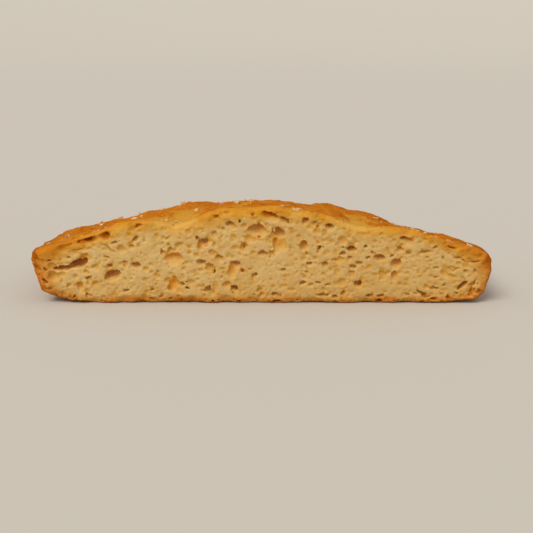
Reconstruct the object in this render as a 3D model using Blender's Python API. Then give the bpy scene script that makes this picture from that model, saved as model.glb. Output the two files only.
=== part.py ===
"""Half a focaccia: a small loaf baked in a square tin and cut straight through the middle.

The cut face looks to the front (-Y) and the side that met the tin to the back (+Y).
The loaf stands on its base, and its origin is the middle of the base of its bounding box.
"""
import math

import bmesh
import bpy
from mathutils import Vector, noise

LOAF = "focaccia_half"

# Driving sizes in metres
HALF_WIDTH = 0.0580        # from the middle to the rim, the widest line of the loaf
DEPTH = 0.0560             # from the cut to the rim at the back
RIM_HEIGHT = 0.0114        # rim above the base, at the cut
RIM_FALL = 0.0018          # how much lower the rim is at the back
CROWN_RISE = 0.0123        # top of the dome above the rim's shoulder
CROWN_SHIFT = 0.0040       # how far the crown lies left of the middle
RIM_CORNER = 0.0165        # corner radius of the rim, seen from above
WALL_LEAN = 0.0022         # how far the wall draws in from the rim down to the base
EDGE_RADIUS = 0.0018       # rounding between the wall and the base
ROLL_WIDTH = 0.0026        # rounded shoulder between the wall and the top
ROLL_RISE = 0.0009

# The dome: how blunt its shoulder is, how fast it falls towards the back, how it turns from round
# at the crown to square at the rim, how tightly it follows the rim, how softly it ends in the
# corners, and its lower right side
SHOULDER_POWER = 0.80
BACK_POWER = 0.88
ROUND_EXPONENT = 2
SQUARE_GAIN = 9
SQUARE_ONSET = 8
RIM_STEEPNESS = 3
RIM_BLEND = 4
SKIRT = 0.08
RIGHT_SAG = 0.13
RIGHT_SAG_FROM = 0.010
RIGHT_SAG_TO = 0.036

# The base curls up towards its edge, more so at the left
BASE_CURL = 0.0010
BASE_CURL_REACH = 0.0125
LEFT_CURL_EXTRA = 1.2

# Hollows pressed by fingertips: (across, back from the cut, depth, radius)
DIMPLES = (
    (-0.0195, 0.0015, 0.0033, 0.0066),
    (-0.0385, 0.0060, 0.0014, 0.0140),
    (0.0240, 0.0020, 0.0022, 0.0052),
    (-0.0350, 0.0210, 0.0038, 0.0062),
    (-0.0500, 0.0210, 0.0021, 0.0135),
    (0.0090, 0.0270, 0.0038, 0.0062),
    (0.0460, 0.0200, 0.0034, 0.0110),
    (-0.0160, 0.0405, 0.0034, 0.0058),
    (0.0270, 0.0425, 0.0032, 0.0056),
    (-0.0430, 0.0410, 0.0026, 0.0054),
)

# The back corners rose less, the right one least: (across, back from the cut, depth, radius)
LOW_CORNERS = (
    (0.0560, 0.0420, 0.0036, 0.0235),
    (-0.0570, 0.0400, 0.0014, 0.0210),
)

# Blisters and swells between the hollows: (across, back from the cut, height, radius)
SWELLS = (
    (-0.0355, 0.0020, 0.0005, 0.0045),
    (-0.0180, 0.0180, 0.0004, 0.0070),
    (0.0030, 0.0120, 0.0003, 0.0050),
    (0.0180, 0.0120, 0.0016, 0.0048),
    (0.0290, 0.0150, 0.0013, 0.0052),
    (-0.0040, 0.0400, 0.0008, 0.0065),
    (0.0440, 0.0380, 0.0006, 0.0050),
    (-0.0310, 0.0330, 0.0008, 0.0060),
)

# Unevenness of the risen dough: size of a wave and its height
TOP_WAVES = ((0.0110, 0.00070), (0.0052, 0.00035))
UNEVEN_ONSET = 0.35        # share of the dome's rise at which the unevenness is full
WALL_WAVE = 0.0095
WALL_WAVE_HEIGHT = 0.00030

TINY = 1e-7                # anything less counts as zero

# Cells of the grid that carries the form
CELLS_ACROSS = 66
CELLS_DEEP = 31
CELLS_TALL = 9
RIM_CROWDING = 1.35        # above 1, cells crowd towards the rim
ARC_SHARE = 0.3            # share of the wall's rows on the rounded lower edge

CRUST_COLOUR = (0.62, 0.31, 0.07, 1.0)
CRUST_ROUGHNESS = 0.5


def smooth_step(value):
    """0 below 0, 1 above 1, and an S-curve between."""
    t = min(max(value, 0.0), 1.0)
    return t * t * (3 - 2 * t)


def distance_inside(x, y, inset):
    """Distance from a point to the rounded-square outline that lies `inset` inside the rim."""
    corner = RIM_CORNER - inset
    from_side_x = abs(x) - (HALF_WIDTH - inset - corner)
    from_side_y = abs(y) - (DEPTH - inset - corner)
    past_corner = math.hypot(max(from_side_x, 0), max(from_side_y, 0))
    return corner - past_corner - min(max(from_side_x, from_side_y), 0)


def outline(u, v, inset):
    """Point of the rounded-square outline, `inset` inside the rim, in the direction of (u, v)."""
    reach = max(abs(u), abs(v))
    corner = RIM_CORNER - inset
    width = HALF_WIDTH - inset
    depth = DEPTH - inset
    x = width * u / reach
    y = depth * v / reach
    core_x = min(max(x, corner - width), width - corner)
    core_y = min(max(y, corner - depth), depth - corner)
    from_core = Vector((x - core_x, y - core_y)).normalized() * corner
    return core_x + from_core.x, core_y + from_core.y


def bells(places, x, y):
    """Sum of round bell-shaped bumps at the given places."""
    return sum(height * math.exp(-((x - px) ** 2 + (y - py) ** 2) / radius ** 2)
               for px, py, height, radius in places)


def crown_distance(x, y):
    """0 at the crown and about 1 at the rim: round near the crown, a rounded square at the rim."""
    across = abs(x + CROWN_SHIFT * (1 - (x / HALF_WIDTH) ** 2)) / HALF_WIDTH
    back = (abs(y) / DEPTH) ** BACK_POWER
    exponent = ROUND_EXPONENT + SQUARE_GAIN * max(across, back) ** SQUARE_ONSET
    return (across ** exponent + back ** exponent) ** (1 / exponent)


def rim_height(x, y):
    """Height of the rim above the base."""
    return RIM_HEIGHT - RIM_FALL * (y / DEPTH) ** 2 - bells(LOW_CORNERS, x, y)


def top_height(x, y):
    """Height of the crust's top above the base."""
    inside = distance_inside(x, y, 0)
    if inside < TINY:
        return rim_height(x, y)
    fall = 1 - crown_distance(x, y) ** 2
    pillow = (fall + math.hypot(fall, SKIRT)) / 2
    from_rim = RIM_STEEPNESS * inside / HALF_WIDTH
    dome = ((pillow ** -RIM_BLEND + from_rim ** -RIM_BLEND) ** (-1 / RIM_BLEND)) ** SHOULDER_POWER
    roll = ROLL_RISE * math.sqrt(1 - (1 - min(inside / ROLL_WIDTH, 1)) ** 2)
    sag = RIGHT_SAG * smooth_step((x - RIGHT_SAG_FROM) / (RIGHT_SAG_TO - RIGHT_SAG_FROM))
    waves = sum(height * noise.noise(Vector((x, y, 0)) / size) for size, height in TOP_WAVES)
    uneven = bells(SWELLS, x, y) - bells(DIMPLES, x, y) + waves
    smooth_top = rim_height(x, y) + roll + CROWN_RISE * dome * (1 - sag)
    return smooth_top + uneven * smooth_step(dome / UNEVEN_ONSET)


def base_height(x, y):
    """Height of the base, which is flat except for its curled-up margin."""
    inside = distance_inside(x, y, WALL_LEAN + EDGE_RADIUS)
    curl = max(0, 1 - inside / BASE_CURL_REACH) ** 2
    left = LEFT_CURL_EXTRA * smooth_step(-x / HALF_WIDTH)
    return BASE_CURL * (1 + left) * curl


def crowd_to_rim(reach):
    """Moves grid lines towards the rim, where the crust curves most."""
    return 1 - (1 - reach) ** RIM_CROWDING


def top_point(u, v):
    reach = max(abs(u), v)
    if reach == 0:
        return Vector((0, 0, top_height(0, 0)))
    x, y = outline(u, v, 0)
    scale = crowd_to_rim(reach)
    return Vector((x * scale, y * scale, top_height(x * scale, y * scale)))


def base_point(u, v):
    reach = max(abs(u), v)
    if reach == 0:
        return Vector((0, 0, base_height(0, 0)))
    x, y = outline(u, v, WALL_LEAN + EDGE_RADIUS)
    scale = crowd_to_rim(reach)
    return Vector((x * scale, y * scale, base_height(x * scale, y * scale)))


def wall_point(u, v, w):
    """Point of the tin-side wall: a quarter arc up from the base, then a leaning straight."""
    foot = base_point(u, v).z
    head = rim_height(*outline(u, v, 0))
    if w < ARC_SHARE:
        angle = 0.5 * math.pi * w / ARC_SHARE
        inset = WALL_LEAN + EDGE_RADIUS * (1 - math.sin(angle))
        height = foot + EDGE_RADIUS * (1 - math.cos(angle))
    else:
        climb = (w - ARC_SHARE) / (1 - ARC_SHARE)
        inset = WALL_LEAN * (1 - climb)
        low = foot + EDGE_RADIUS
        height = low + (head - low) * climb
    x, y = outline(u, v, inset)
    wave = noise.noise(Vector((x, y, height)) / WALL_WAVE)
    x, y = outline(u, v, inset + WALL_WAVE_HEIGHT * (1 + wave) * math.sin(math.pi * w))
    return Vector((x, y, height))


def shape_point(corner):
    """Moves a point of the 2 m cube's surface onto the loaf."""
    u, v, w = corner.x, (corner.y + 1) / 2, (corner.z + 1) / 2
    if w > 1 - TINY:
        return top_point(u, v)
    if w < TINY:
        return base_point(u, v)
    return wall_point(u, v, w)


def cut_into_cells(bm):
    """Divides the cube's faces into a grid, along X, then Y, then Z."""
    for axis, cells in enumerate((CELLS_ACROSS, CELLS_DEEP, CELLS_TALL)):
        along = [edge for edge in bm.edges if abs(edge.verts[0].co[axis] - edge.verts[1].co[axis]) > 1]
        bmesh.ops.subdivide_edges(bm, edges=along, cuts=cells - 1, use_grid_fill=True)


def merge_flat_faces(bm, is_flat):
    """Joins the faces whose corners all pass the test into one."""
    flat = [face for face in bm.faces if all(is_flat(vert.co) for vert in face.verts)]
    bmesh.ops.dissolve_faces(bm, faces=flat, use_verts=False)


def stand_on_origin(bm):
    """Moves the loaf so that its bounding box is centred over the origin and rests at z = 0."""
    low = Vector(min(vert.co[axis] for vert in bm.verts) for axis in range(3))
    high = Vector(max(vert.co[axis] for vert in bm.verts) for axis in range(3))
    middle = (low + high) / 2
    bmesh.ops.translate(bm, verts=bm.verts, vec=(-middle.x, -middle.y, -low.z))


def loaf_mesh():
    bm = bmesh.new()
    bmesh.ops.create_cube(bm, size=2)
    cut_into_cells(bm)
    merge_flat_faces(bm, lambda co: co.y < TINY - 1)
    for vert in bm.verts:
        vert.co = shape_point(vert.co)
    merge_flat_faces(bm, lambda co: co.z < TINY)
    stand_on_origin(bm)
    bmesh.ops.recalc_face_normals(bm, faces=bm.faces)
    mesh = bpy.data.meshes.new(LOAF)
    bm.to_mesh(mesh)
    bm.free()
    mesh.shade_smooth()
    mesh.set_sharp_from_angle(angle=math.radians(40))
    return mesh


def crust_material():
    material = bpy.data.materials.new("baked_crust")
    material.use_nodes = True
    surface = material.node_tree.nodes["Principled BSDF"]
    surface.inputs["Base Color"].default_value = CRUST_COLOUR
    surface.inputs["Roughness"].default_value = CRUST_ROUGHNESS
    surface.inputs["Metallic"].default_value = 0.0
    return material


def main():
    for old in list(bpy.data.objects):
        bpy.data.objects.remove(old)
    bread = bpy.data.collections.new("focaccia")
    bpy.context.scene.collection.children.link(bread)
    loaf = bpy.data.objects.new(LOAF, loaf_mesh())
    loaf.data.materials.append(crust_material())
    bread.objects.link(loaf)


main()
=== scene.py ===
"""Half a focaccia, cut face to the front: crumb with its pores, baked crust and salt flakes."""
import math

import bmesh
import bpy
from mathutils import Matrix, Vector


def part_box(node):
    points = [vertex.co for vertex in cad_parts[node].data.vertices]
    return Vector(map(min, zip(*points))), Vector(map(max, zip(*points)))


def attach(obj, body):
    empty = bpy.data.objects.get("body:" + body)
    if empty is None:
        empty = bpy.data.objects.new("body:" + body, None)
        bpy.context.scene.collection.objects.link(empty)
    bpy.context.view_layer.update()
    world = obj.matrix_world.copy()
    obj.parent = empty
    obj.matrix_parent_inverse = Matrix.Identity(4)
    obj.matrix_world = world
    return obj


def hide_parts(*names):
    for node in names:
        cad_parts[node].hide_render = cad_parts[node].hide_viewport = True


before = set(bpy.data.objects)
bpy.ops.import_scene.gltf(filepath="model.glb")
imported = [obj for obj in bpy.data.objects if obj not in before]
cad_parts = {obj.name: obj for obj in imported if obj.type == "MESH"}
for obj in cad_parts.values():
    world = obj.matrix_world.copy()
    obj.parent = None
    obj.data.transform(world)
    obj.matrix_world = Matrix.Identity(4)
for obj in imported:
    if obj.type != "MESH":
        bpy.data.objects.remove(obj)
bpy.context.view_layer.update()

LOAF_NODE = "focaccia_half"
BODY = "root"
MM = 0.001

LOW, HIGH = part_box(LOAF_NODE)
FRONT = LOW[1]                       # the plane of the cut

# ---------------------------------------------------------------- sizes, in millimetres

SKIN_CELL = 0.50  # mesh size of the crust
PORE_CELL = 0.22  # mesh size of the pores
PORE_REACH = 7.0                     # how far behind the cut pores are made
PORE_MARGIN = 0.7                    # how far the pores' block stands out in front of the cut
SIDE_MARGIN = 0.5                    # and on all its other sides but the back
EDGE_RADII = (0.5, 2.3)              # least and greatest rounding of the cut's edge into the crust
NOTE_SETBACK = 1.6                   # how far behind the cut the crust is looked up for its colour
MOST_TRIANGLES = 192000
BLUR_STEPS = round((4.5 / SKIN_CELL) ** 2)   # blurs over about 4.5 mm, to tell dimples from bumps
RIM_STEPS = round((1.8 / SKIN_CELL) ** 2)    # blurs over about 1.8 mm, to find the rim

# Layers of random pores: cell, largest radius, how rare the large ones are, softness of the lip,
# and how fast a pore closes behind the cut
PORE_LAYERS = (
    (4.3, 1.30, 2.4, 0.28, 0.10),
    (2.3, 0.98, 1.4, 0.24, 0.35),
    (1.50, 0.62, 0.8, 0.14, 1.10),
)
# Layers of pores that the knife only just opened: cell, largest radius and how rare the large ones are
SHALLOW_LAYERS = ((2.9, 1.35, 1.2), (1.6, 0.85, 0.7), (0.95, 0.50, 0.6))
PORE_LEAN = 0.45                     # random pores rise this much for each millimetre behind the cut
PORE_SQUEEZE = 1.7                   # random pores are this much wider than deep

# Blisters of the top: cell, largest radius and how rare the large ones are. Pits of the wall: the same
# and their depth.
BLISTERS = ((7.0, 2.9, 1.5), (3.1, 1.3, 1.3))
BLISTER_HEIGHT = 0.26                # for each millimetre of a blister's radius
WALL_PITS = ((4.6, 1.50, 1.9, 0.8), (2.1, 0.90, 1.3, 0.5), (1.1, 0.52, 0.9, 0.3))

# Where the top's back corners start and end, aside of the middle and behind the cut, and how much of
# their dimples is filled up
CORNER_ASIDE = (34.0, 44.0)
CORNER_BEHIND = (30.0, 40.0)
CORNER_FILL = 0.9
BASE_TUCK = 0.1                      # how far the base's skin is drawn in

# Pores and tears of the cut face: (across, up, width, height, depth, turn in degrees)
TEARS = (
    (-49.4, 9.1, 5.2, 1.2, 3.4, 8), (-45.7, 10.2, 5.2, 2.1, 4.6, 20), (-44.0, 11.7, 3.2, 2.2, 1.0, 30),
    (-51.8, 6.6, 3.8, 2.1, 1.0, 10), (-37.1, 7.1, 4.6, 2.6, 3.2, 22), (-31.2, 9.7, 2.5, 2.1, 1.8, 0),
    (-34.0, 10.5, 1.5, 1.0, 1.0, 0), (-38.5, 11.8, 2.3, 0.8, 0.8, -6), (-37.9, 9.8, 1.3, 1.0, 1.6, 0),
    (-41.6, 9.2, 2.3, 0.5, 0.7, 0), (-45.5, 4.2, 2.0, 2.8, 1.2, 15), (-41.7, 4.8, 2.0, 2.0, 0.7, 0),
    (-54.2, 8.9, 1.6, 0.8, 1.2, -50), (-54.5, 5.7, 2.0, 0.9, 1.2, -35), (-53.6, 3.4, 2.6, 1.2, 0.8, 10),
    (-32.1, 14.5, 1.5, 1.0, 1.0, 0), (-31.0, 16.5, 2.3, 1.3, 1.2, 30), (-43.4, 16.0, 7.4, 1.7, 1.6, 10),
    (-39.5, 17.3, 3.3, 2.5, 1.9, -30), (-47.3, 15.4, 3.0, 1.5, 1.0, 20), (-44.6, 13.8, 6.0, 0.6, 0.6, 9),
    (-38.5, 14.3, 5.6, 0.9, 0.7, -26), (-48.0, 11.9, 1.2, 0.5, 0.7, 0), (-51.3, 12.4, 2.2, 0.5, 0.5, 10),
    (-52.9, 11.1, 1.4, 0.5, 1.0, 0), (-1.1, 18.6, 4.8, 3.2, 2.4, -8), (-1.0, 19.3, 3.5, 2.5, 2.0, 0),
    (-14.3, 15.7, 2.9, 2.5, 2.4, 0), (-15.1, 14.4, 1.4, 2.4, 1.2, -10), (-15.8, 16.8, 0.9, 1.3, 1.5, 35),
    (-21.7, 11.4, 5.3, 3.1, 1.5, 0), (-14.9, 10.3, 2.3, 1.9, 1.8, 0), (-12.2, 13.0, 1.9, 1.5, 0.8, 20),
    (-10.5, 11.5, 2.0, 2.1, 1.6, 0), (-6.3, 10.0, 3.0, 2.2, 1.8, 0), (-7.5, 8.1, 2.2, 4.0, 1.2, -18),
    (-4.2, 14.4, 2.3, 2.7, 1.0, 0), (-4.1, 14.1, 0.7, 1.5, 1.9, 5), (-1.3, 7.3, 1.2, 1.2, 1.6, 0),
    (0.6, 12.7, 2.5, 1.5, 1.5, 0), (-7.5, 20.2, 2.2, 1.7, 1.8, 0), (-1.9, 23.0, 1.8, 1.6, 1.2, 0),
    (-8.4, 4.6, 2.6, 1.9, 1.0, 0), (-6.6, 3.9, 2.0, 1.6, 2.4, -15), (-19.8, 5.1, 1.2, 0.7, 2.0, -25),
    (-18.6, 4.0, 1.2, 0.7, 2.0, -25), (4.2, 18.9, 1.5, 2.0, 1.5, 0), (4.5, 17.4, 3.3, 3.0, 2.4, 0),
    (3.7, 14.9, 1.5, 3.8, 1.7, 4), (5.3, 15.6, 3.0, 4.6, 0.8, 15), (10.6, 14.7, 2.3, 3.0, 1.8, 0),
    (14.4, 14.0, 1.2, 2.0, 1.8, -15), (22.7, 14.1, 2.5, 1.3, 2.5, 0), (26.3, 14.8, 1.0, 0.8, 1.8, 0),
    (29.7, 11.6, 3.0, 1.7, 1.9, -6), (26.9, 11.8, 1.5, 1.0, 1.0, 0), (20.3, 12.7, 1.8, 1.2, 1.2, 0),
    (22.1, 11.6, 1.3, 1.5, 1.0, 0), (12.1, 10.1, 1.8, 1.4, 1.3, 0), (16.0, 10.0, 2.0, 1.6, 1.4, 0),
    (5.7, 8.5, 1.5, 1.2, 1.0, 0), (24.6, 10.4, 1.8, 1.3, 1.2, 0), (23.1, 9.3, 1.8, 1.5, 1.2, 0),
    (22.9, 7.9, 2.0, 1.0, 1.0, 0), (10.6, 5.4, 1.8, 0.9, 1.5, 8), (12.7, 5.0, 1.3, 0.5, 1.0, -5),
    (14.6, 5.3, 1.6, 0.6, 1.2, 0), (16.9, 4.9, 1.2, 0.5, 0.9, 0), (3.3, 2.5, 1.5, 1.0, 1.6, 0),
    (24.5, 4.9, 2.0, 2.0, 2.4, 0), (15.8, 2.1, 3.0, 1.0, 1.5, 0), (18.7, 1.6, 1.5, 1.0, 1.2, 0),
    (20.8, 2.5, 1.5, 1.2, 1.4, 0), (27.5, 1.9, 2.3, 1.0, 1.3, 0), (30.2, 1.9, 2.0, 0.8, 1.2, 0),
    (2.0, 22.2, 5.6, 2.1, 1.5, -15), (5.7, 21.2, 3.2, 1.6, 1.3, -22), (11.2, 21.0, 2.0, 2.0, 1.3, 0),
    (17.0, 19.5, 2.3, 1.8, 1.6, 0), (13.7, 22.4, 2.6, 1.0, 1.0, -15), (13.3, 20.2, 1.2, 1.6, 1.2, 0),
    (33.5, 10.2, 3.0, 3.0, 2.0, -20), (33.5, 7.0, 2.0, 3.0, 1.2, 0), (36.2, 16.1, 4.0, 1.5, 1.6, -18),
    (34.8, 13.8, 2.0, 1.2, 1.3, 0), (41.0, 13.2, 2.5, 0.9, 1.2, 0), (50.7, 4.5, 3.0, 1.2, 2.8, 43),
    (53.2, 2.8, 1.5, 1.3, 1.6, 0), (53.0, 3.2, 3.0, 2.4, 0.6, 0), (49.5, 11.7, 1.6, 0.5, 0.9, 0),
    (50.8, 11.1, 1.8, 0.5, 0.9, -40), (53.3, 10.8, 3.6, 0.5, 0.9, 6), (47.5, 8.6, 1.9, 0.7, 0.8, -40),
    (49.1, 8.6, 2.2, 0.6, 0.8, 25), (45.6, 11.6, 1.9, 0.5, 0.7, -58), (43.7, 3.8, 2.3, 1.0, 1.2, 0),
    (40.3, 2.9, 2.2, 0.8, 1.8, -25), (41.3, 1.9, 1.6, 1.5, 1.6, 0), (43.5, 1.3, 2.0, 0.8, 1.2, 0),
    (47.1, 1.4, 1.0, 0.8, 1.2, 0), (47.9, 14.4, 2.7, 0.5, 1.0, -25), (47.1, 7.2, 5.5, 1.4, 0.6, -15),
    (43.5, 14.2, 1.6, 0.8, 1.0, 15), (43.9, 9.2, 1.8, 0.8, 0.9, 0), (43.9, 6.8, 1.3, 0.5, 0.9, 0),
    (54.0, 8.2, 0.7, 1.3, 0.9, 30),
)
# A wide tear is a bowl with a shallow lower lip, a narrow one a hole. For each: how far the ball's
# middle lies behind the cut, as a share of its reach, and how much it rises as it goes back.
BOWL = (-0.22, 0.75)
HOLE = (0.30, 0.30)

# Torn bubbles in the crust's edge: (across, up, width, height, depth, turn in degrees)
CUPS = (
    (-7.8, 23.4, 2.6, 2.0, 1.3, 10), (-4.4, 24.2, 1.7, 1.2, 0.9, 20), (-1.9, 24.0, 1.6, 1.6, 1.0, 0),
    (-45.8, 15.9, 1.4, 1.6, 0.7, 30), (14.4, 23.6, 3.4, 0.9, 0.7, -8), (23.0, 22.6, 2.2, 0.8, 0.5, -20),
)


# ---------------------------------------------------------------- building node trees

class Tree:
    """A node tree with short calls for adding nodes and feeding their sockets."""

    def __init__(self, tree):
        self.tree = tree
        self.source = None

    def add(self, kind, inputs=None, **settings):
        node = self.tree.nodes.new(kind)
        for name, value in settings.items():
            setattr(node, name, value)
        for key, value in (inputs or {}).items():
            self.feed(node.inputs[key], value)
        return node

    def feed(self, socket, value):
        if isinstance(value, bpy.types.Node):
            value = value.outputs[0]
        if isinstance(value, bpy.types.NodeSocket):
            self.tree.links.new(value, socket)
        else:
            socket.default_value = value

    def given(self, name):
        """The tree's own input of that name."""
        if self.source is None:
            self.source = self.tree.nodes.new("NodeGroupInput")
        return self.source.outputs[name]

    def math(self, operation, *values):
        node = self.add("ShaderNodeMath", operation=operation)
        for socket, value in zip(node.inputs, values):
            self.feed(socket, value)
        return node.outputs[0]

    def total(self, *values):
        result = values[0]
        for value in values[1:]:
            result = self.math("ADD", result, value)
        return result

    def product(self, *values):
        result = values[0]
        for value in values[1:]:
            result = self.math("MULTIPLY", result, value)
        return result

    def vector(self, operation, *values):
        node = self.add("ShaderNodeVectorMath", operation=operation)
        for socket, value in zip(node.inputs, values):
            self.feed(socket, value)
        is_number = operation in ("DOT_PRODUCT", "LENGTH")
        return node.outputs["Value" if is_number else "Vector"]

    def scale(self, vector, factor):
        node = self.add("ShaderNodeVectorMath", operation="SCALE")
        self.feed(node.inputs["Vector"], vector)
        self.feed(node.inputs["Scale"], factor)
        return node.outputs["Vector"]

    def split(self, vector):
        return self.add("ShaderNodeSeparateXYZ", {0: vector}).outputs

    def join(self, x, y, z):
        return self.add("ShaderNodeCombineXYZ", {"X": x, "Y": y, "Z": z}).outputs[0]

    def remap(self, value, low, high, to_low=0.0, to_high=1.0):
        """An S-curve from to_low at low to to_high at high."""
        node = self.add("ShaderNodeMapRange", {0: value, 1: low, 2: high, 3: to_low, 4: to_high},
                        interpolation_type="SMOOTHSTEP")
        return node.outputs[0]

    def noise(self, vector, size, detail=2.0, roughness=0.5):
        """Soft noise from 0 to 1, and a vector of the same, with waves of the given size."""
        node = self.add("ShaderNodeTexNoise", {"Vector": vector, "Scale": 1 / size, "Detail": detail,
                                               "Roughness": roughness})
        return node.outputs

    def cells(self, vector, size):
        """Distance to the nearest of many scattered points, and that point's random colour."""
        node = self.add("ShaderNodeTexVoronoi", {"Vector": vector, "Scale": 1 / size})
        return self.math("MULTIPLY", node.outputs["Distance"], size), node.outputs["Color"]

    def mix(self, factor, first, second):
        """Colour between first and second."""
        node = self.add("ShaderNodeMix", data_type="RGBA")
        self.feed(node.inputs["Factor"], factor)
        self.feed(node.inputs[6], first)
        self.feed(node.inputs[7], second)
        return node.outputs[2]


SOCKETS = {float: "NodeSocketFloat", int: "NodeSocketInt",
           bpy.types.Object: "NodeSocketObject", bpy.types.Material: "NodeSocketMaterial"}


def geometry_tree(name, values):
    """A tree with a geometry in and out and a named input for each value."""
    group = bpy.data.node_groups.new(name, "GeometryNodeTree")
    group.interface.new_socket("Geometry", in_out="INPUT", socket_type="NodeSocketGeometry")
    group.interface.new_socket("Geometry", in_out="OUTPUT", socket_type="NodeSocketGeometry")
    for label, value in values.items():
        group.interface.new_socket(label, in_out="INPUT", socket_type=SOCKETS[type(value)])
    return Tree(group)


def close_tree(t, geometry):
    """Ends a geometry tree: real mesh, its material, output."""
    real = t.add("GeometryNodeRealizeInstances", {"Geometry": geometry})
    dressed = t.add("GeometryNodeSetMaterial", {"Geometry": real, "Material": t.given("Material")})
    t.feed(t.add("NodeGroupOutput").inputs[0], dressed)


def named(t, name, kind="FLOAT"):
    """The mesh's attribute of that name."""
    return t.add("GeometryNodeInputNamedAttribute", {"Name": name}, data_type=kind).outputs[0]


def store(t, geometry, name, value, kind="FLOAT"):
    """The geometry with a value written on each of its points."""
    return t.add("GeometryNodeStoreNamedAttribute", {"Geometry": geometry, "Name": name, "Value": value},
                 data_type=kind, domain="POINT")


def run_tree(piece, t, values):
    """Puts the tree on the piece with its values, makes the result the piece's mesh, takes it off."""
    modifier = piece.modifiers.new(t.tree.name, "NODES")
    modifier.node_group = t.tree
    for socket in t.tree.interface.items_tree:
        if socket.in_out == "INPUT" and socket.name in values:
            modifier[socket.identifier] = values[socket.name]
    bake(piece)


def bake(piece):
    """Makes what the piece's modifiers show its own mesh, and removes them."""
    shown = piece.evaluated_get(bpy.context.evaluated_depsgraph_get())
    mesh = bpy.data.meshes.new_from_object(shown)
    piece.modifiers.clear()
    piece.data = mesh


def new_piece(name, mesh):
    piece = bpy.data.objects.new(name, mesh)
    bpy.context.scene.collection.objects.link(piece)
    return piece


# ---------------------------------------------------------------- the bread's form

def welded_copy(node):
    """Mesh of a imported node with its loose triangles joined."""
    bm = bmesh.new()
    bm.from_mesh(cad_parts[node].data)
    bmesh.ops.remove_doubles(bm, verts=bm.verts, dist=0.00001)
    mesh = bpy.data.meshes.new(node + "_form")
    bm.to_mesh(mesh)
    bm.free()
    return mesh


def in_millimetres(t):
    return t.scale(t.add("GeometryNodeInputPosition"), 1 / MM)


def behind_front(t, place):
    """How far a place lies behind the plane of the cut, all in millimetres."""
    return t.math("SUBTRACT", t.split(place)[1], FRONT / MM)


def facing_masks(t):
    """How much a point belongs to the top, the cut and the base, each from 0 to 1."""
    _, y, z = t.split(t.add("GeometryNodeInputNormal"))
    place = t.split(t.add("GeometryNodeInputPosition"))
    at_front = t.math("LESS_THAN", place[1], FRONT + 0.6 * MM)
    cut = t.math("MULTIPLY", t.remap(t.math("MULTIPLY", y, -1.0), 0.55, 0.9), at_front)
    top = t.math("MULTIPLY", t.remap(z, 0.05, 0.5), t.math("SUBTRACT", 1.0, cut))
    base = t.remap(t.math("MULTIPLY", z, -1.0), 0.5, 0.9)
    return top, cut, base


def hollowness(t):
    """How far in millimetres a point of the skin lies below its surroundings."""
    height = t.split(t.add("GeometryNodeInputPosition"))[2]
    around = t.add("GeometryNodeBlurAttribute", {"Value": height, "Iterations": t.given("Blur steps")},
                   data_type="FLOAT")
    return t.product(t.math("SUBTRACT", around, height), 1 / MM)


def bubbles(t, place, size, reach, rarity, height, roundness=1.3):
    """Domes of random width, up to height high for each millimetre of their radius."""
    distance, colour = t.cells(place, size)
    radius = t.product(t.math("POWER", t.split(colour)[0], rarity), reach)
    ratio = t.math("DIVIDE", distance, t.math("MAXIMUM", radius, 0.1))
    dome = t.math("MAXIMUM", t.math("SUBTRACT", 1.0, t.math("POWER", ratio, 2.0)), 0.0)
    return t.product(t.math("POWER", dome, roundness), radius, height)


def top_relief(t, place):
    """Blisters, puckers and fine wrinkles of the top crust."""
    bent = t.vector("ADD", place, t.scale(t.noise(place, 2.0, 0.0)[1], 1.3))
    swell = t.math("SUBTRACT", t.noise(place, 5.0, 1.0)[0], 0.53)
    blisters = t.total(*(bubbles(t, bent, *layer, BLISTER_HEIGHT) for layer in BLISTERS))
    folds = t.math("ABSOLUTE", t.math("SUBTRACT", t.noise(bent, 4.0, 2.0, 0.5)[0], 0.5))
    crease = t.remap(folds, 0.035, 0.0)
    grain = t.math("SUBTRACT", t.noise(place, 1.15, 2.0, 0.6)[0], 0.5)
    return t.total(t.product(swell, t.given("Swell")), t.product(blisters, t.given("Blister")),
                   t.product(crease, t.given("Crease"), -1.0), t.product(grain, t.given("Grain")))


def wall_relief(t, place):
    """Pits of the tin-baked wall and base."""
    bent = t.vector("ADD", place, t.scale(t.noise(place, 2.0, 1.0)[1], 1.1))
    pits = None
    for size, reach, rarity, depth in WALL_PITS:
        distance, colour = t.cells(bent, size)
        radius = t.math("MULTIPLY", t.math("POWER", t.split(colour)[0], rarity), reach)
        pit = t.remap(t.math("SUBTRACT", distance, radius), 0.10, -0.40, 0.0, depth)
        pits = pit if pits is None else t.math("MAXIMUM", pits, pit)
    pits = t.math("MULTIPLY", pits, t.given("Pit"))
    rough = t.product(t.math("SUBTRACT", t.noise(place, 1.6, 3.0, 0.6)[0], 0.5), t.given("Rough"))
    return t.math("MULTIPLY", t.math("ADD", pits, rough), -1.0)


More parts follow.
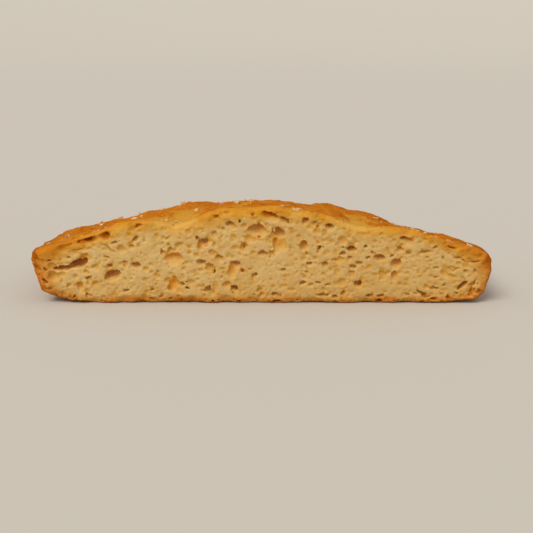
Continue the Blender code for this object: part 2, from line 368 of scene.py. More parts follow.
def relief_tree(values):
    """Moves the loaf's skin: deeper dimples and blisters on top, pits in the wall and base."""
    t = geometry_tree("skin_relief", values)
    place = in_millimetres(t)
    behind = behind_front(t, place)
    top, cut, base = facing_masks(t)
    side = t.math("SUBTRACT", 1.0, t.math("MAXIMUM", top, cut))
    side = t.math("MULTIPLY", side, t.math("SUBTRACT", 1.0, t.math("MULTIPLY", base, 0.6)))
    hollow = t.math("MAXIMUM", hollowness(t), -0.2)
    x, _, z = t.split(place)
    in_corner = t.product(t.remap(t.math("ABSOLUTE", x), *CORNER_ASIDE), t.remap(behind, *CORNER_BEHIND))
    deeper = t.remap(in_corner, 0.0, 1.0, t.given("Dimple"), -CORNER_FILL)
    dimple = t.product(hollow, deeper, t.remap(behind, 1.5, 9.0), -1.0)
    shift = t.total(t.product(t.math("ADD", top_relief(t, place), dimple), top),
                    t.product(wall_relief(t, place), side))
    noted = store(t, t.given("Geometry"), "rise", shift)
    upright = t.product(side, t.remap(x, 40.0, 52.0), t.remap(z, 1.0, 3.5), t.remap(z, 11.0, 8.0))
    moved_out = t.total(shift, t.product(upright, t.given("Right bulge")), t.product(base, -BASE_TUCK))
    offset = t.scale(t.add("GeometryNodeInputNormal"), t.math("MULTIPLY", moved_out, MM))
    moved = t.add("GeometryNodeSetPosition", {"Geometry": noted, "Offset": offset})
    close_tree(t, moved)
    return t


def make_form(material):
    """The whole loaf with its crust's relief and a plain cut."""
    form = new_piece("focaccia_bread", welded_copy(LOAF_NODE))
    remesh = form.modifiers.new("even_cells", "REMESH")
    remesh.mode = "VOXEL"
    remesh.voxel_size = SKIN_CELL * MM
    bake(form)
    values = {"Swell": 0.9, "Blister": 1.0, "Crease": 0.16, "Grain": 0.24, "Pit": 1.0, "Rough": 0.45,
              "Right bulge": 1.1, "Dimple": 0.85, "Blur steps": BLUR_STEPS, "Material": material}
    run_tree(form, relief_tree(values), values)
    return form


# ---------------------------------------------------------------- the cut and its pores

def tear_shape(width, height, depth):
    """Semi-axes of a tear's ball (across, back, up), its tilt, and how far its middle is back and up."""
    share = min(max((depth / height - 0.8) / 0.8, 0.0), 1.0)
    set_back, lean = (bowl + share * (hole - bowl) for bowl, hole in zip(BOWL, HOLE))
    reach = depth / (1 + set_back)
    back = set_back * reach
    swell = 1 / math.sqrt(1 - set_back ** 2)
    half_width, half_height = width / 2 * swell, height / 2 * swell
    # A leaning ball is a tilted one: the axes of the ellipse of ((reach, 0), (lean * reach, half_height))
    yy, yz = reach ** 2, lean * reach ** 2
    zz = yz * lean + half_height ** 2
    middle, spread = (yy + zz) / 2, math.hypot((yy - zz) / 2, yz)
    tilt = math.atan2(2 * yz, yy - zz) / 2
    axes = (half_width, math.sqrt(middle + spread), math.sqrt(middle - spread))
    return axes, tilt, back, lean * back


def tear_places(name, tears):
    """One point for each tear of the cut face, with its ball's size and turn as attributes."""
    places, sizes, turns = [], [], []
    for across, up, width, height, depth, turn in tears:
        axes, tilt, back, lift = tear_shape(width, height, depth)
        places.append((across * MM, FRONT + back * MM, (up + lift) * MM))
        sizes += [axis * MM for axis in axes]
        turns += (tilt, -math.radians(turn), 0.0)
    mesh = bpy.data.meshes.new(name)
    mesh.from_pydata(places, [], [])
    mesh.attributes.new("size", "FLOAT_VECTOR", "POINT").data.foreach_set("vector", sizes)
    mesh.attributes.new("turn", "FLOAT_VECTOR", "POINT").data.foreach_set("vector", turns)
    return new_piece(name, mesh)


def baked_skin(t, form):
    """The surface that the oven baked: all of the form but its cut."""
    geometry = t.add("GeometryNodeObjectInfo", {"Object": form}).outputs["Geometry"]
    y = t.split(t.add("GeometryNodeInputNormal"))[1]
    place = t.split(t.add("GeometryNodeInputPosition"))
    faces_front = t.math("LESS_THAN", y, -0.6)
    at_front = t.math("LESS_THAN", place[1], FRONT + 0.8 * MM)
    cut = t.math("MULTIPLY", faces_front, at_front)
    return t.add("GeometryNodeDeleteGeometry", {"Geometry": geometry, "Selection": cut}, domain="FACE")


def tear_balls(t, tears):
    """A ball for each tear, stretched to its size and turned, joined where they meet."""
    places = t.add("GeometryNodeObjectInfo", {"Object": tears}).outputs["Geometry"]
    points = t.add("GeometryNodeMeshToPoints", {"Mesh": places})
    ball = t.add("GeometryNodeMeshIcoSphere", {"Radius": 1.0, "Subdivisions": 4})
    size = named(t, "size", "FLOAT_VECTOR")
    turn = named(t, "turn", "FLOAT_VECTOR")
    balls = t.add("GeometryNodeInstanceOnPoints", {"Points": points, "Instance": ball, "Rotation": turn,
                                                   "Scale": size})
    union = t.add("GeometryNodeMeshBoolean", operation="UNION", solver="MANIFOLD")
    t.feed(union.inputs["Mesh 2"], balls)
    return union.outputs["Mesh"]


def depth_inside(t, surface, place):
    """Depth in millimetres under the nearest point of a surface, negative on its outer side."""
    here = t.scale(place, MM)
    near = t.add("GeometryNodeProximity", {0: surface, "Sample Position": here}, target_element="FACES")
    normal = t.add("GeometryNodeSampleNearestSurface",
                   {"Mesh": surface, "Value": t.add("GeometryNodeInputNormal"), "Sample Position": here},
                   data_type="FLOAT_VECTOR")
    outward = t.vector("DOT_PRODUCT", t.vector("SUBTRACT", here, near.outputs["Position"]),
                       normal.outputs["Value"])
    sign = t.math("MULTIPLY", t.math("SIGN", outward), -1 / MM)
    return t.math("MULTIPLY", near.outputs["Distance"], sign)


def bend(t, place, waves):
    """The place pushed about by soft noise; waves are (size, push) in millimetres."""
    for size, push in waves:
        shift = t.vector("SUBTRACT", t.noise(place, size, 0.0)[1], (0.5, 0.5, 0.5))
        place = t.vector("ADD", place, t.scale(shift, push * 2))
    return place


def cut_relief(t, place, depth):
    """How far the cut lies behind its plane: wavy, dragged sideways by the knife, round at the crust."""
    wave = t.product(t.noise(place, 3.6, 1.0)[0], 0.30)
    drag = t.product(t.noise(t.vector("MULTIPLY", place, (0.45, 1.0, 1.0)), 0.8, 1.0)[0], 0.16)
    radius = t.remap(t.noise(place, 4.2, 1.0)[0], 0.32, 0.68, *EDGE_RADII)
    past = t.math("SUBTRACT", 1.0, t.math("DIVIDE", depth, radius))
    past = t.math("MINIMUM", t.math("MAXIMUM", past, 0.0), 0.98)
    arc = t.math("SQRT", t.math("SUBTRACT", 1.0, t.math("POWER", past, 2.0)))
    crust_edge = t.product(t.math("SUBTRACT", 1.0, arc), radius)
    return t.total(wave, drag, crust_edge, -0.10)


def shallow_pores(t, place):
    """Soft round dimples of the cut, pores that the knife only just opened."""
    flat = t.vector("MULTIPLY", place, (1.0, 0.0, 1.15))
    flat = bend(t, flat, ((1.6, 0.30),))
    pores = [bubbles(t, t.vector("ADD", flat, (40.0 * number, 0.0, 0.0)), size, reach, rarity, 0.48, 0.7)
             for number, (size, reach, rarity) in enumerate(SHALLOW_LAYERS)]
    return t.math("MAXIMUM", t.math("MAXIMUM", *pores[:2]), pores[2])


def behind_cut(t, place, depth):
    """How far a place is behind the real, uneven cut."""
    return t.math("SUBTRACT", behind_front(t, place), cut_relief(t, place, depth))


def base_chips(t, place):
    """Depth inside the chips that broke off along the cut's lower edge."""
    behind = behind_front(t, place)
    height = t.split(place)[2]
    corner = t.math("SQRT", t.math("ADD", t.math("POWER", behind, 2.0), t.math("POWER", height, 2.0)))
    bite = t.product(t.math("SUBTRACT", t.noise(place, 1.1, 3.0, 0.65)[0], 0.42), 6.5)
    return t.math("SUBTRACT", bite, corner)


def random_pores(t, place):
    """Air of the random pore layers: a list of (field, softness of the lip)."""
    x, _, z = t.split(place)
    behind = t.math("MAXIMUM", behind_front(t, place), 0.0)
    flatness = t.remap(t.math("ABSOLUTE", t.math("ADD", x, 3.0)), 10.0, 46.0, 1.05, 1.50)
    flatness = t.product(flatness, t.remap(z, 8.0, 3.0, 1.0, 1.40))
    bent = bend(t, place, ((2.7, 0.70), (0.95, 0.20)))
    bx, by, bz = t.split(bent)
    height = t.math("SUBTRACT", bz, t.product(behind, PORE_LEAN))
    bent = t.join(bx, t.product(by, PORE_SQUEEZE), t.product(height, flatness))
    crowd = t.remap(z, 9.0, 2.0, 1.0, 1.35)
    crowd = t.product(crowd, t.remap(t.noise(place, 6.0, 1.0)[0], 0.35, 0.62, 0.72, 1.12))
    layers = []
    for number, (size, largest, rarity, softness, closing) in enumerate(PORE_LAYERS):
        moved = t.vector("ADD", bent, (number * 31.7, number * 17.3, number * 11.9))
        distance, colour = t.cells(moved, size)
        radius = t.product(t.math("POWER", t.split(colour)[0], rarity), largest, crowd)
        radius = t.math("SUBTRACT", radius, t.product(behind, closing))
        layers.append((t.math("SUBTRACT", radius, distance), softness))
    return layers


def pore_block(t, skin):
    """Closed mesh of all the air in front of the cut and in the pores behind it."""
    place = in_millimetres(t)
    depth = depth_inside(t, skin, place)
    face = t.math("SUBTRACT", shallow_pores(t, place), behind_cut(t, place, depth))
    air = t.math("MAXIMUM", face, base_chips(t, place))
    height = t.split(place)[2]
    keep = t.remap(height, 9.0, 14.0, t.given("Wall thickness"), t.given("Crust thickness"))
    allowed = t.math("SUBTRACT", depth, keep)
    bent = bend(t, place, ((2.2, 0.32), (0.8, 0.15)))
    cups = depth_inside(t, tear_balls(t, t.given("Cups")), bent)
    air = t.math("SMOOTH_MAX", air, cups, 0.15)
    tears = depth_inside(t, tear_balls(t, t.given("Tears")), bent)
    for field, softness in [(tears, 0.12)] + random_pores(t, place):
        held = t.math("MINIMUM", field, allowed)
        air = t.math("SMOOTH_MAX", air, held, softness)
    side = SIDE_MARGIN * MM
    low = Vector((LOW[0] - side, FRONT - PORE_MARGIN * MM, LOW[2] - side))
    high = Vector((HIGH[0] + side, FRONT + PORE_REACH * MM, HIGH[2] + side))
    steps = [int((high[axis] - low[axis]) / (PORE_CELL * MM)) for axis in range(3)]
    block = t.add("GeometryNodeVolumeCube", {"Density": air, "Background": -1.0, "Min": low, "Max": high,
                                             "Resolution X": steps[0], "Resolution Y": steps[1],
                                             "Resolution Z": steps[2]})
    return t.add("GeometryNodeVolumeToMesh", {"Volume": block, "Threshold": 0.0})


def largest_body(t, geometry):
    """The mesh without the closed shells of pores that nothing opens."""
    island = t.add("GeometryNodeInputMeshIsland").outputs["Island Index"]
    count = t.add("GeometryNodeAccumulateField", {"Value": 1.0, "Group ID": island})
    total = count.outputs["Total"]
    most = t.add("GeometryNodeAttributeStatistic", {"Geometry": geometry, "Attribute": total})
    small = t.math("LESS_THAN", total, t.math("SUBTRACT", most.outputs["Max"], 0.5))
    return t.add("GeometryNodeDeleteGeometry", {"Geometry": geometry, "Selection": small}, domain="POINT")


def pore_tree(values):
    t = geometry_tree("crumb_pores", values)
    skin = baked_skin(t, t.given("Form"))
    pores = pore_block(t, skin)
    cut = t.add("GeometryNodeMeshBoolean", operation="DIFFERENCE", solver="MANIFOLD")
    t.feed(cut.inputs["Mesh 1"], t.given("Geometry"))
    t.feed(cut.inputs["Mesh 2"], pores)
    close_tree(t, largest_body(t, cut.outputs["Mesh"]))
    return t


def note_tree(values):
    """Writes on each point how deep it is behind the cut and under the crust, and how much it faces up,
    and of the nearest crust how much it faces up, its relief and how far it lies in a hollow."""
    t = geometry_tree("crust_notes", values)
    skin = baked_skin(t, t.given("Form"))
    x, y, z = t.split(t.add("GeometryNodeInputPosition"))
    here = t.join(x, t.math("MAXIMUM", y, FRONT + NOTE_SETBACK * MM), z)
    place = in_millimetres(t)
    depth = t.math("MAXIMUM", depth_inside(t, skin, place), 0.0)
    up = t.add("GeometryNodeBlurAttribute", {"Value": t.split(t.add("GeometryNodeInputNormal"))[2],
                                             "Iterations": t.given("Rim steps")}, data_type="FLOAT")
    for name, value in (("hollow", hollowness(t)), ("up", up)):
        skin = store(t, skin, name, value)
    rise, hollow, up = (named(t, name) for name in ("rise", "hollow", "up"))
    level = t.split(t.add("GeometryNodeInputNormal"))[2]
    notes = [("crust_depth", depth), ("cut_depth", behind_cut(t, place, depth)), ("level", level)]
    for name, value in (("crust_up", up), ("crust_rise", rise), ("crust_hollow", hollow)):
        nearest = t.add("GeometryNodeSampleNearestSurface", {"Mesh": skin, "Value": value,
                                                             "Sample Position": here})
        notes.append((name, nearest))
    result = t.given("Geometry")
    for name, value in notes:
        result = store(t, result, name, value)
    close_tree(t, result)
    return t


def thin_out(piece, most):
    """Merges the flattest triangles until the piece has no more than most."""
    piece.data.calc_loop_triangles()
    count = len(piece.data.loop_triangles)
    if count > most:
        modifier = piece.modifiers.new("thin_out", "DECIMATE")
        modifier.ratio = most / count
        bake(piece)


def mend(mesh):
    """Cuts out the few faces that thinning left crossed, and closes the holes again."""
    bm = bmesh.new()
    bm.from_mesh(mesh)
    for _ in range(5):
        crossed = [edge for edge in bm.edges if len(edge.link_faces) > 2]
        corners = {vert for edge in crossed for vert in edge.verts}
        faces = {face for vert in corners for face in vert.link_faces}
        bmesh.ops.delete(bm, geom=list(faces), context="FACES")
        loose = [vert for vert in bm.verts if not vert.link_faces]
        bmesh.ops.delete(bm, geom=loose, context="VERTS")
        rims = [edge for edge in bm.edges if edge.is_boundary]
        if not rims:
            break
        patches = bmesh.ops.holes_fill(bm, edges=rims, sides=0)["faces"]
        bmesh.ops.triangulate(bm, faces=patches)
    bmesh.ops.recalc_face_normals(bm, faces=bm.faces)
    bm.to_mesh(mesh)
    bm.free()


def make_bread(material):
    bread = make_form(material)
    form = new_piece("form", bread.data.copy())
    tears = tear_places("tears", TEARS)
    cups = tear_places("cups", CUPS)
    values = {"Form": form, "Tears": tears, "Cups": cups, "Crust thickness": 0.75, "Wall thickness": 0.28,
              "Material": material}
    run_tree(bread, pore_tree(values), values)
    thin_out(bread, MOST_TRIANGLES)
    mend(bread.data)
    values = {"Form": form, "Blur steps": BLUR_STEPS, "Rim steps": RIM_STEPS, "Material": material}
    run_tree(bread, note_tree(values), values)
    for helper in (form, tears, cups):
        bpy.data.objects.remove(helper)
    bread.data.shade_smooth()
    return bread


# ---------------------------------------------------------------- salt flakes

# Grains that lie near the cut: (across, behind the cut, size)
GRAINS = (
    (-54.4, 6.5, 1.1), (-48.4, 6.0, 0.9), (-45.6, 5.0, 0.8), (-42.0, 3.6, 1.4), (-40.8, 3.4, 1.0),
    (-38.7, 5.2, 2.0), (-32.4, 8.0, 1.7), (-24.8, 2.4, 0.6), (-23.8, 3.4, 0.7), (-22.6, 2.6, 0.5),
    (-21.4, 3.2, 0.7), (-20.2, 2.2, 0.6), (-22.0, 1.6, 0.5), (-16.5, 9.0, 1.3), (-6.4, 9.5, 1.6),
    (5.4, 3.6, 1.0), (8.2, 1.4, 0.8), (9.0, 1.6, 1.1), (9.8, 3.4, 0.8), (23.4, 1.2, 0.6),
    (35.6, 3.6, 1.1), (36.8, 2.9, 0.7), (38.4, 3.4, 1.3), (39.4, 3.2, 0.9), (43.0, 3.4, 1.0),
    (44.2, 2.9, 1.2), (47.2, 2.8, 1.4), (48.1, 2.2, 0.8), (52.4, 2.4, 1.5), (52.9, 1.5, 0.7),
)


def grain_points(name, grains):
    """One point high over each listed grain, with its size."""
    mesh = bpy.data.meshes.new(name)
    mesh.from_pydata([(across * MM, FRONT + behind * MM, 2 * HIGH[2]) for across, behind, _ in grains],
                     [], [])
    sizes = [size * MM for _, _, size in grains]
    mesh.attributes.new("size", "FLOAT", "POINT").data.foreach_set("value", sizes)
    return new_piece(name, mesh)


def random_number(t, low, high, seed, kind="FLOAT"):
    node = t.add("FunctionNodeRandomValue", data_type=kind)
    first = {"FLOAT": 2, "FLOAT_VECTOR": 0}[kind]
    t.feed(node.inputs[first], low)
    t.feed(node.inputs[first + 1], high)
    t.feed(node.inputs["Seed"], seed)
    return node.outputs[{"FLOAT": 1, "FLOAT_VECTOR": 0}[kind]]


def dropped_points(t, skin):
    """The listed points, let fall on the skin."""
    here = t.add("GeometryNodeInputPosition")
    ray = t.add("GeometryNodeRaycast", {"Target Geometry": skin, "Source Position": here,
                                        "Ray Direction": (0.0, 0.0, -1.0), "Ray Length": 1.0})
    points = t.add("GeometryNodeMeshToPoints", {"Mesh": t.given("Geometry")})
    turned = store(t, points, "normal", ray.outputs["Hit Normal"], "FLOAT_VECTOR")
    return t.add("GeometryNodeSetPosition", {"Geometry": turned, "Position": ray.outputs["Hit Position"]})


def strewn_points(t, skin):
    """Random points in loose clusters on top of the crust."""
    place = in_millimetres(t)
    on_top = t.product(t.math("GREATER_THAN", named(t, "crust_up"), 0.75),
                       t.math("LESS_THAN", named(t, "crust_depth"), 0.02))
    clusters = t.product(t.remap(t.noise(place, 15.0, 0.0)[0], 0.40, 0.60, 0.15, 1.0),
                         t.remap(t.noise(place, 3.5, 1.0)[0], 0.50, 0.68, 0.06, 1.0))
    fewer_in_front = t.remap(behind_front(t, place), 4.0, 12.0, 0.2, 1.0)
    density = t.product(on_top, clusters, fewer_in_front, t.given("Grains on a square metre"))
    spread = t.add("GeometryNodeDistributePointsOnFaces", {"Mesh": skin, "Density": density,
                                                           "Seed": t.given("Seed")})
    share = random_number(t, 0.0, 1.0, 3)
    wide = t.math("MULTIPLY_ADD", t.math("POWER", share, 2.2), t.given("Largest"), t.given("Smallest"))
    points = store(t, spread.outputs["Points"], "size", wide)
    return store(t, points, "normal", spread.outputs["Normal"], "FLOAT_VECTOR")


def grain_tree(values):
    """Blocky grains, each of its own shape, on the crust's top."""
    t = geometry_tree("salt_grains", values)
    skin = t.add("GeometryNodeObjectInfo", {"Object": t.given("Bread")}).outputs["Geometry"]
    points = t.add("GeometryNodeJoinGeometry")
    for some in (strewn_points(t, skin), dropped_points(t, skin)):
        t.feed(points.inputs[0], some)
    toned = store(t, points, "tone", random_number(t, 0.0, 1.0, 5))
    block = t.add("GeometryNodeMeshCube", {"Size": (1.0, 1.0, 1.0), "Vertices X": 3, "Vertices Y": 3,
                                           "Vertices Z": 3})
    size = named(t, "size")
    upright = t.add("FunctionNodeAlignRotationToVector", {"Vector": named(t, "normal", "FLOAT_VECTOR")},
                    axis="Z")
    tumble = random_number(t, (-0.35, -0.35, -3.14), (0.35, 0.35, 3.14), 7, "FLOAT_VECTOR")
    turn = t.add("FunctionNodeRotateRotation", {"Rotation": upright, "Rotate By": tumble},
                 rotation_space="LOCAL")
    shape = random_number(t, (0.75, 0.45, 0.35), (1.15, 0.95, 0.65), 11, "FLOAT_VECTOR")
    placed = t.add("GeometryNodeInstanceOnPoints", {"Points": toned, "Instance": block, "Rotation": turn,
                                                    "Scale": t.scale(shape, size)})
    solid = t.add("GeometryNodeRealizeInstances", {"Geometry": placed})
    push = t.vector("SUBTRACT", t.noise(in_millimetres(t), 0.5, 1.0)[1], (0.5, 0.5, 0.5))
    chipped = t.add("GeometryNodeSetPosition", {"Geometry": solid,
                                                "Offset": t.scale(push, t.math("MULTIPLY", size, 0.6))})
    close_tree(t, chipped)
    return t


def make_salt(bread, material):
    salt = grain_points("salt_flakes", GRAINS)
    values = {"Bread": bread, "Grains on a square metre": 130000.0, "Seed": 4, "Smallest": 0.35 * MM,
              "Largest": 1.5 * MM, "Material": material}
    run_tree(salt, grain_tree(values), values)
    return salt


# ---------------------------------------------------------------- materials

def new_material(name):
    material = bpy.data.materials.new(name)
    material.use_nodes = True
    shader = material.node_tree.nodes["Principled BSDF"]
    return material, Tree(material.node_tree), shader


def attribute(t, name):
    return t.add("ShaderNodeAttribute", attribute_name=name).outputs["Fac"]


def mottle_group():
    """Soft patches of a given size: a mask between two noise levels, and the bare noise as a height."""
    group = bpy.data.node_groups.new("mottle", "ShaderNodeTree")
    for label, kind in (("Place", "Vector"), ("Size", "Float"), ("Detail", "Float"), ("Low", "Float"),
                        ("High", "Float")):
        group.interface.new_socket(label, in_out="INPUT", socket_type="NodeSocket" + kind)
    for label in ("Mask", "Height"):
        group.interface.new_socket(label, in_out="OUTPUT", socket_type="NodeSocketFloat")
    t = Tree(group)
    noise = t.add("ShaderNodeTexNoise", {"Vector": t.given("Place"), "Detail": t.given("Detail"),
                                         "Scale": t.math("DIVIDE", 1.0, t.given("Size")),
                                         "Roughness": 0.6}).outputs[0]
    out = t.add("NodeGroupOutput")
    t.feed(out.inputs["Mask"], t.remap(noise, t.given("Low"), t.given("High")))
    t.feed(out.inputs["Height"], noise)
    return group


MOTTLE = mottle_group()


def mottle(t, place, size, low=0.0, high=1.0, detail=3.0):
    node = t.add("ShaderNodeGroup")
    node.node_tree = MOTTLE
    values = {"Place": place, "Size": size, "Detail": detail, "Low": low, "High": high}
    for label, value in values.items():
        t.feed(node.inputs[label], value)
    return node.outputs


# Colours of the crust, with painted shade for the creases of its top and the pits of its wall
GOLDEN = (0.53, 0.192, 0.015, 1)
ORANGE = (0.47, 0.133, 0.007, 1)
BURNT_AND_CREASE_SHADE = (0.33, 0.080, 0.004, 1)
YELLOW = (0.56, 0.275, 0.033, 1)
RIM = (0.34, 0.080, 0.004, 1)
WALL = (0.52, 0.170, 0.014, 1)
WALL_BROWN = (0.40, 0.108, 0.008, 1)
WALL_PIT_SHADE = (0.20, 0.048, 0.003, 1)
# Colours of the cut between crust and crumb: under the top, where oil soaked in, the oil's glints, and
# inside the wall and base
AMBER = (0.60, 0.270, 0.028, 1)
STRAW = (0.64, 0.345, 0.062, 1)
OILED = (0.66, 0.370, 0.076, 1)
GLINT = (0.86, 0.600, 0.260, 1)
TOAST = (0.62, 0.215, 0.020, 1)
CHAFF = (0.72, 0.370, 0.120, 1)
BISCUIT = (0.60, 0.290, 0.060, 1)
# Colours of the crumb and of its pores. The pores' golden is their own tone, with painted shade added on
# faces turned down; the warm and the deep colour are painted shade, under the pores' roofs and deep in
# them
CREAM = (0.720, 0.502, 0.208, 1)
WHEAT = (0.625, 0.390, 0.128, 1)
PORE = (0.65, 0.355, 0.070, 1)
PORE_ROOF_SHADE = (0.90, 0.345, 0.015, 1)
PORE_DEEP_SHADE = (0.74, 0.210, 0.003, 1)

# Where oil has gathered in the dimples at the cut, as (x, y, z) in millimetres
OIL_POOLS = ((-21.5, -26.0, 20.0), (23.5, -26.0, 20.5))


def oil_pools(t, place):
    """1 in the middle of an oil pool and 0 away from it."""
    pools = []
    for middle in OIL_POOLS:
        away = t.vector("MULTIPLY", t.vector("SUBTRACT", place, middle), (1.0, 0.8, 2.2))
        pools.append(t.remap(t.vector("LENGTH", away), 9.5, 3.0))
    return t.math("MAXIMUM", *pools)


def crust_colour(t, place, up, rise, hollow, rim, pools):
    """Golden top with orange-brown bumps, yellow oily hollows, a darker rim and painted shade in its
    creases, and the plainer wall with painted shade in its pits.
    """
    broad = mottle(t, place, 9.0, 0.36, 0.66)["Mask"]
    patch = mottle(t, t.vector("ADD", place, (40.0, 0.0, 0.0)), 2.2, 0.34, 0.68)["Mask"]
    fleck = mottle(t, t.vector("ADD", place, (0.0, 70.0, 0.0)), 0.7, 0.40, 0.62)["Mask"]
    right = t.remap(t.split(place)[0], 15.0, 55.0, 0.0, 0.25)
    brown = t.total(right, t.product(broad, 0.45), t.product(patch, 0.45), t.product(rise, 0.45),
                    t.product(hollow, -0.5), t.product(fleck, 0.30))
    top = t.mix(t.remap(brown, 0.10, 0.80), GOLDEN, ORANGE)
    top = t.mix(t.product(t.remap(brown, 0.75, 1.30), 0.8), top, BURNT_AND_CREASE_SHADE)
    # Painted shade: the low creases of the top are darkened
    top = t.mix(t.product(t.remap(rise, -0.12, -0.42), 0.6), top, BURNT_AND_CREASE_SHADE)
    oily = t.total(hollow, t.product(broad, -0.35), t.product(patch, -0.25), t.product(pools, 0.5))
    top = t.mix(t.remap(oily, -0.15, 0.35), top, YELLOW)
    top = t.mix(t.product(rim, t.remap(patch, 0.0, 0.8, 0.7, 1.0)), top, RIM)
    baked = t.total(t.product(broad, 0.4), t.product(patch, 0.5), t.product(fleck, 0.35))
    wall = t.mix(t.remap(baked, 0.2, 1.1), WALL, WALL_BROWN)
    # Painted shade: the wall's pits are darkened
    wall = t.mix(t.remap(t.math("SUBTRACT", rise, t.product(fleck, 0.15)), -0.15, -0.60), wall, WALL_PIT_SHADE)
    return t.mix(t.remap(up, -0.05, 0.25), wall, top)


def crumb_colour(t, place, cut_depth, level):
    """Cream where the knife went, darker to the right as painted shade and darker towards the base; golden
    in the pores, with painted shade making them paler on their floors and browner deep under their roofs.
    """
    patch = mottle(t, place, 3.2, 0.36, 0.66)["Mask"]
    fine = mottle(t, place, 0.8, 0.38, 0.64)["Mask"]
    x, _, z = t.split(place)
    # Darker to the right: painted shade, as the light comes from the left. Darker towards the base too.
    right_shade_and_low = t.math("ADD", t.remap(x, -30.0, 30.0, 0.0, 0.35), t.remap(z, 8.0, 2.0, 0.0, 0.45))
    tone_and_shade = t.total(t.product(patch, 0.5), t.product(fine, 0.3), right_shade_and_low)
    cream = t.mix(t.math("MINIMUM", tone_and_shade, 1.0), CREAM, WHEAT)
    # Painted shade: inside the pores the golden is stronger on faces turned down and paler on their lit
    # floors
    in_pore = t.product(t.remap(cut_depth, 0.04, 0.26), t.remap(level, 0.50, -0.10, 0.5, 1.0))
    golden = t.mix(in_pore, cream, PORE)
    # Painted shade: faces turned down and deep in the pores turn warm orange, and brown deeper still
    downward_shade = t.remap(level, 0.45, -0.40, 0.10, 1.0)
    pore_shaded = t.mix(t.product(t.remap(cut_depth, 0.4, 1.1), downward_shade), golden, PORE_ROOF_SHADE)
    return t.mix(t.product(t.remap(cut_depth, 1.2, 2.6), downward_shade), pore_shaded, PORE_DEEP_SHADE)


def bread_material():
    material, t, shader = new_material("baked_bread")
    place = t.scale(t.add("ShaderNodeTexCoord").outputs["Object"], 1 / MM)
    depth, up, rise, hollow = (attribute(t, "crust_" + name) for name in ("depth", "up", "rise", "hollow"))
    cut_depth = attribute(t, "cut_depth")
    rim = t.product(t.remap(up, 0.0, 0.22), t.remap(up, 0.88, 0.66))
    pools = oil_pools(t, place)
    crust = crust_colour(t, place, up, rise, hollow, rim, pools)
    crumb = crumb_colour(t, place, cut_depth, attribute(t, "level"))

    # The crust's brown reaches deepest at both ends of the top and least at the base, and unevenly
    x, _, z = t.split(place)
    aside = t.math("ABSOLUTE", x)
    thickness = t.product(t.remap(z, 2.0, 14.0, 0.50, 1.0), t.remap(x, -10.0, 40.0, 1.0, 0.75),
                          t.remap(aside, 46.0, 54.0, 1.0, 1.9), t.remap(pools, 0.0, 1.0, 1.0, 0.65))
    ragged = t.product(t.math("SUBTRACT", mottle(t, place, 2.6)["Height"], 0.5), 5.0)
    ragged = t.product(ragged, t.remap(depth, 0.0, 1.2))
    relative = t.math("DIVIDE", t.math("ADD", depth, ragged), thickness)
    low = t.remap(z, 14.0, 7.0)
    flecks = mottle(t, place, 0.6, 0.48, 0.62)["Mask"]
    amber = t.mix(t.remap(aside, 38.0, 52.0, 0.0, 0.9), AMBER, GOLDEN)
    straw = t.mix(t.remap(aside, 38.0, 52.0, 0.0, 0.8), STRAW, AMBER)
    near = t.mix(low, t.mix(pools, amber, OILED), t.mix(t.product(flecks, 0.7), TOAST, CHAFF))
    far = t.mix(low, t.mix(t.product(pools, 0.7), straw, OILED), BISCUIT)
    under = t.mix(t.remap(relative, 0.3, 2.2), near, far)
    near_crust = t.remap(relative, 5.0, 2.5)
    # Painted shade: near the crust, the cut turns orange deeper in the pores
    under = t.mix(t.product(t.remap(cut_depth, 0.2, 1.0), near_crust), under, ORANGE)
    under = t.mix(t.remap(relative, 1.6, 4.2), under, crumb)
    glints = mottle(t, place, 0.55, 0.64, 0.72)["Mask"]
    under = t.mix(t.product(glints, pools, t.remap(relative, 4.5, 2.0), 0.7), under, GLINT)
    edge = t.product(t.remap(cut_depth, 1.6, 0.0, 0.0, 0.8), t.remap(up, 0.5, 0.8), t.remap(rim, 1.0, 0.0))
    crust = t.mix(edge, crust, near)
    brown_to = t.math("ADD", t.remap(up, 0.4, 0.1, 0.55, 0.9), t.product(rim, 1.7))
    below = t.remap(relative, t.product(rim, 0.9), brown_to)
    t.feed(shader.inputs["Base Color"], t.mix(below, crust, under))

    baked = t.remap(depth, 0.4, 0.05)
    oil = mottle(t, place, 1.3, 0.56, 0.72)["Mask"]
    oil = t.math("ADD", t.product(oil, 0.35), t.product(t.remap(hollow, -0.1, 0.6), 0.15))
    t.feed(shader.inputs["Coat Weight"], t.product(baked, oil, 0.6))
    t.feed(shader.inputs["Roughness"], t.remap(baked, 0.0, 1.0, 0.85, 0.55))
    shader.inputs["Specular IOR Level"].default_value = 0.0
    shader.inputs["Coat Roughness"].default_value = 0.25
    shader.inputs["Subsurface Weight"].default_value = 0.35
    shader.inputs["Subsurface Scale"].default_value = 0.0012
    shader.inputs["Subsurface Radius"].default_value = (1.0, 0.55, 0.18)

    fine, puckers = (t.math("SUBTRACT", mottle(t, place, size)["Height"], 0.5) for size in (0.50, 1.1))
    height = t.total(t.product(fine, t.remap(baked, 0.0, 1.0, 0.12, 0.30)),
                     t.product(puckers, t.remap(baked, 0.0, 1.0, 0.0, 0.50)))
    bump = t.add("ShaderNodeBump", {"Strength": 1.0, "Distance": 0.001, "Height": height})
    t.feed(shader.inputs["Normal"], bump)
    return material


SALT_CLEAR = (0.60, 0.31, 0.09, 1)
SALT_WHITE = (0.72, 0.52, 0.27, 1)


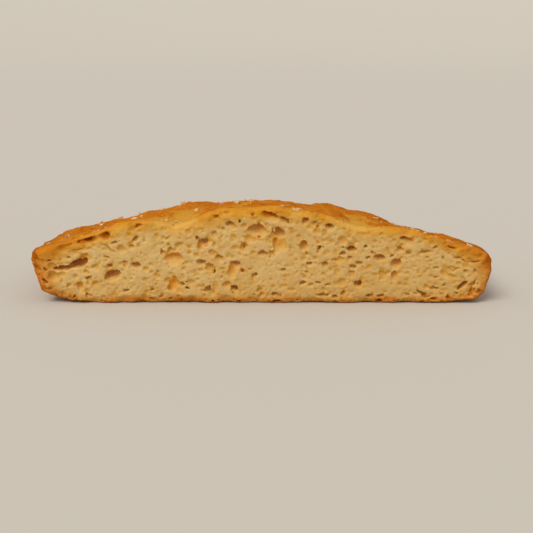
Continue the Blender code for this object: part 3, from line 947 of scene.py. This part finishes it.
def salt_material():
    material, t, shader = new_material("coarse_salt")
    place = t.scale(t.add("ShaderNodeTexCoord").outputs["Object"], 1 / MM)
    cloudy = mottle(t, place, 0.8, 0.35, 0.65)
    tone = t.math("ADD", t.product(attribute(t, "tone"), 0.7), t.product(cloudy["Mask"], 0.5))
    t.feed(shader.inputs["Base Color"], t.mix(t.remap(tone, 0.25, 1.2), SALT_CLEAR, SALT_WHITE))
    shader.inputs["Roughness"].default_value = 0.35
    shader.inputs["Specular IOR Level"].default_value = 0.2
    shader.inputs["Subsurface Weight"].default_value = 0.5
    shader.inputs["Subsurface Scale"].default_value = 0.0008
    bump = t.add("ShaderNodeBump", {"Strength": 0.6, "Distance": 0.0002, "Height": cloudy["Height"]})
    t.feed(shader.inputs["Normal"], bump)
    return material


bread = make_bread(bread_material())
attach(bread, BODY)
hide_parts(LOAF_NODE)

salt = make_salt(bread, salt_material())
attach(salt, BODY)


# ---------------------------------------------------------------- floor, camera and light

FLAT_RADIUS = 2.0                    # the floor is flat this far out, in metres
CURVE_RADIUS = 4.0                   # and then curves up with this radius


def dish_floor():
    """A floor that curves up far away on all sides, so that no view shows its edge."""
    rings = [(FLAT_RADIUS + CURVE_RADIUS * math.sin(math.radians(slope)),
              CURVE_RADIUS * (1 - math.cos(math.radians(slope)))) for slope in range(0, 40, 5)]
    steps = 48
    turns = [math.tau * step / steps for step in range(steps)]
    points = [(radius * math.cos(turn), radius * math.sin(turn), height)
              for radius, height in rings for turn in turns]
    faces = [tuple(range(steps))]
    for ring in range(len(rings) - 1):
        for step in range(steps):
            here, beside = ring * steps + step, ring * steps + (step + 1) % steps
            faces.append((here, here + steps, beside + steps, beside))
    mesh = bpy.data.meshes.new("floor")
    mesh.from_pydata(points, [], faces)
    mesh.shade_smooth()
    return new_piece("floor", mesh)


floor = dish_floor()
pale, _, pale_shader = new_material("pale_floor")
pale_shader.inputs["Base Color"].default_value = (0.55, 0.52, 0.47, 1)
pale_shader.inputs["Roughness"].default_value = 0.9
floor.data.materials.append(pale)

PHOTO_WIDTH = 533                    # in pixels
FOCAL_LENGTH = 900                   # in pixels of the photo
CAMERA_PLACE = (0.0014, FRONT - 0.219, 0.0631)
LOOKS_DOWN = 13.7                    # degrees

camera = bpy.data.cameras.new("camera")
camera.sensor_width = 36
camera.lens = camera.sensor_width * FOCAL_LENGTH / PHOTO_WIDTH
camera.clip_start = 0.01
viewer = bpy.data.objects.new("camera", camera)
viewer.location = CAMERA_PLACE
viewer.rotation_euler = (math.radians(90 - LOOKS_DOWN), 0, 0)
bpy.context.scene.collection.objects.link(viewer)
bpy.context.scene.camera = viewer

TO_SUN = (-0.35, -0.50, 0.80)        # from the loaf, left in front and above
sun = bpy.data.lights.new("key", "SUN")
sun.energy = 2.0
sun.angle = math.radians(35)
sun.color = (1.0, 0.94, 0.86)
lamp = bpy.data.objects.new("key", sun)
lamp.rotation_euler = Vector(TO_SUN).to_track_quat("Z", "Y").to_euler()
bpy.context.scene.collection.objects.link(lamp)
world = bpy.data.worlds.new("world")
bpy.context.scene.world = world
world.use_nodes = True
sky = world.node_tree.nodes["Background"]
sky.inputs["Color"].default_value = (1, 0.97, 0.93, 1)
sky.inputs["Strength"].default_value = 0.58
bpy.context.scene.view_settings.view_transform = "Standard"
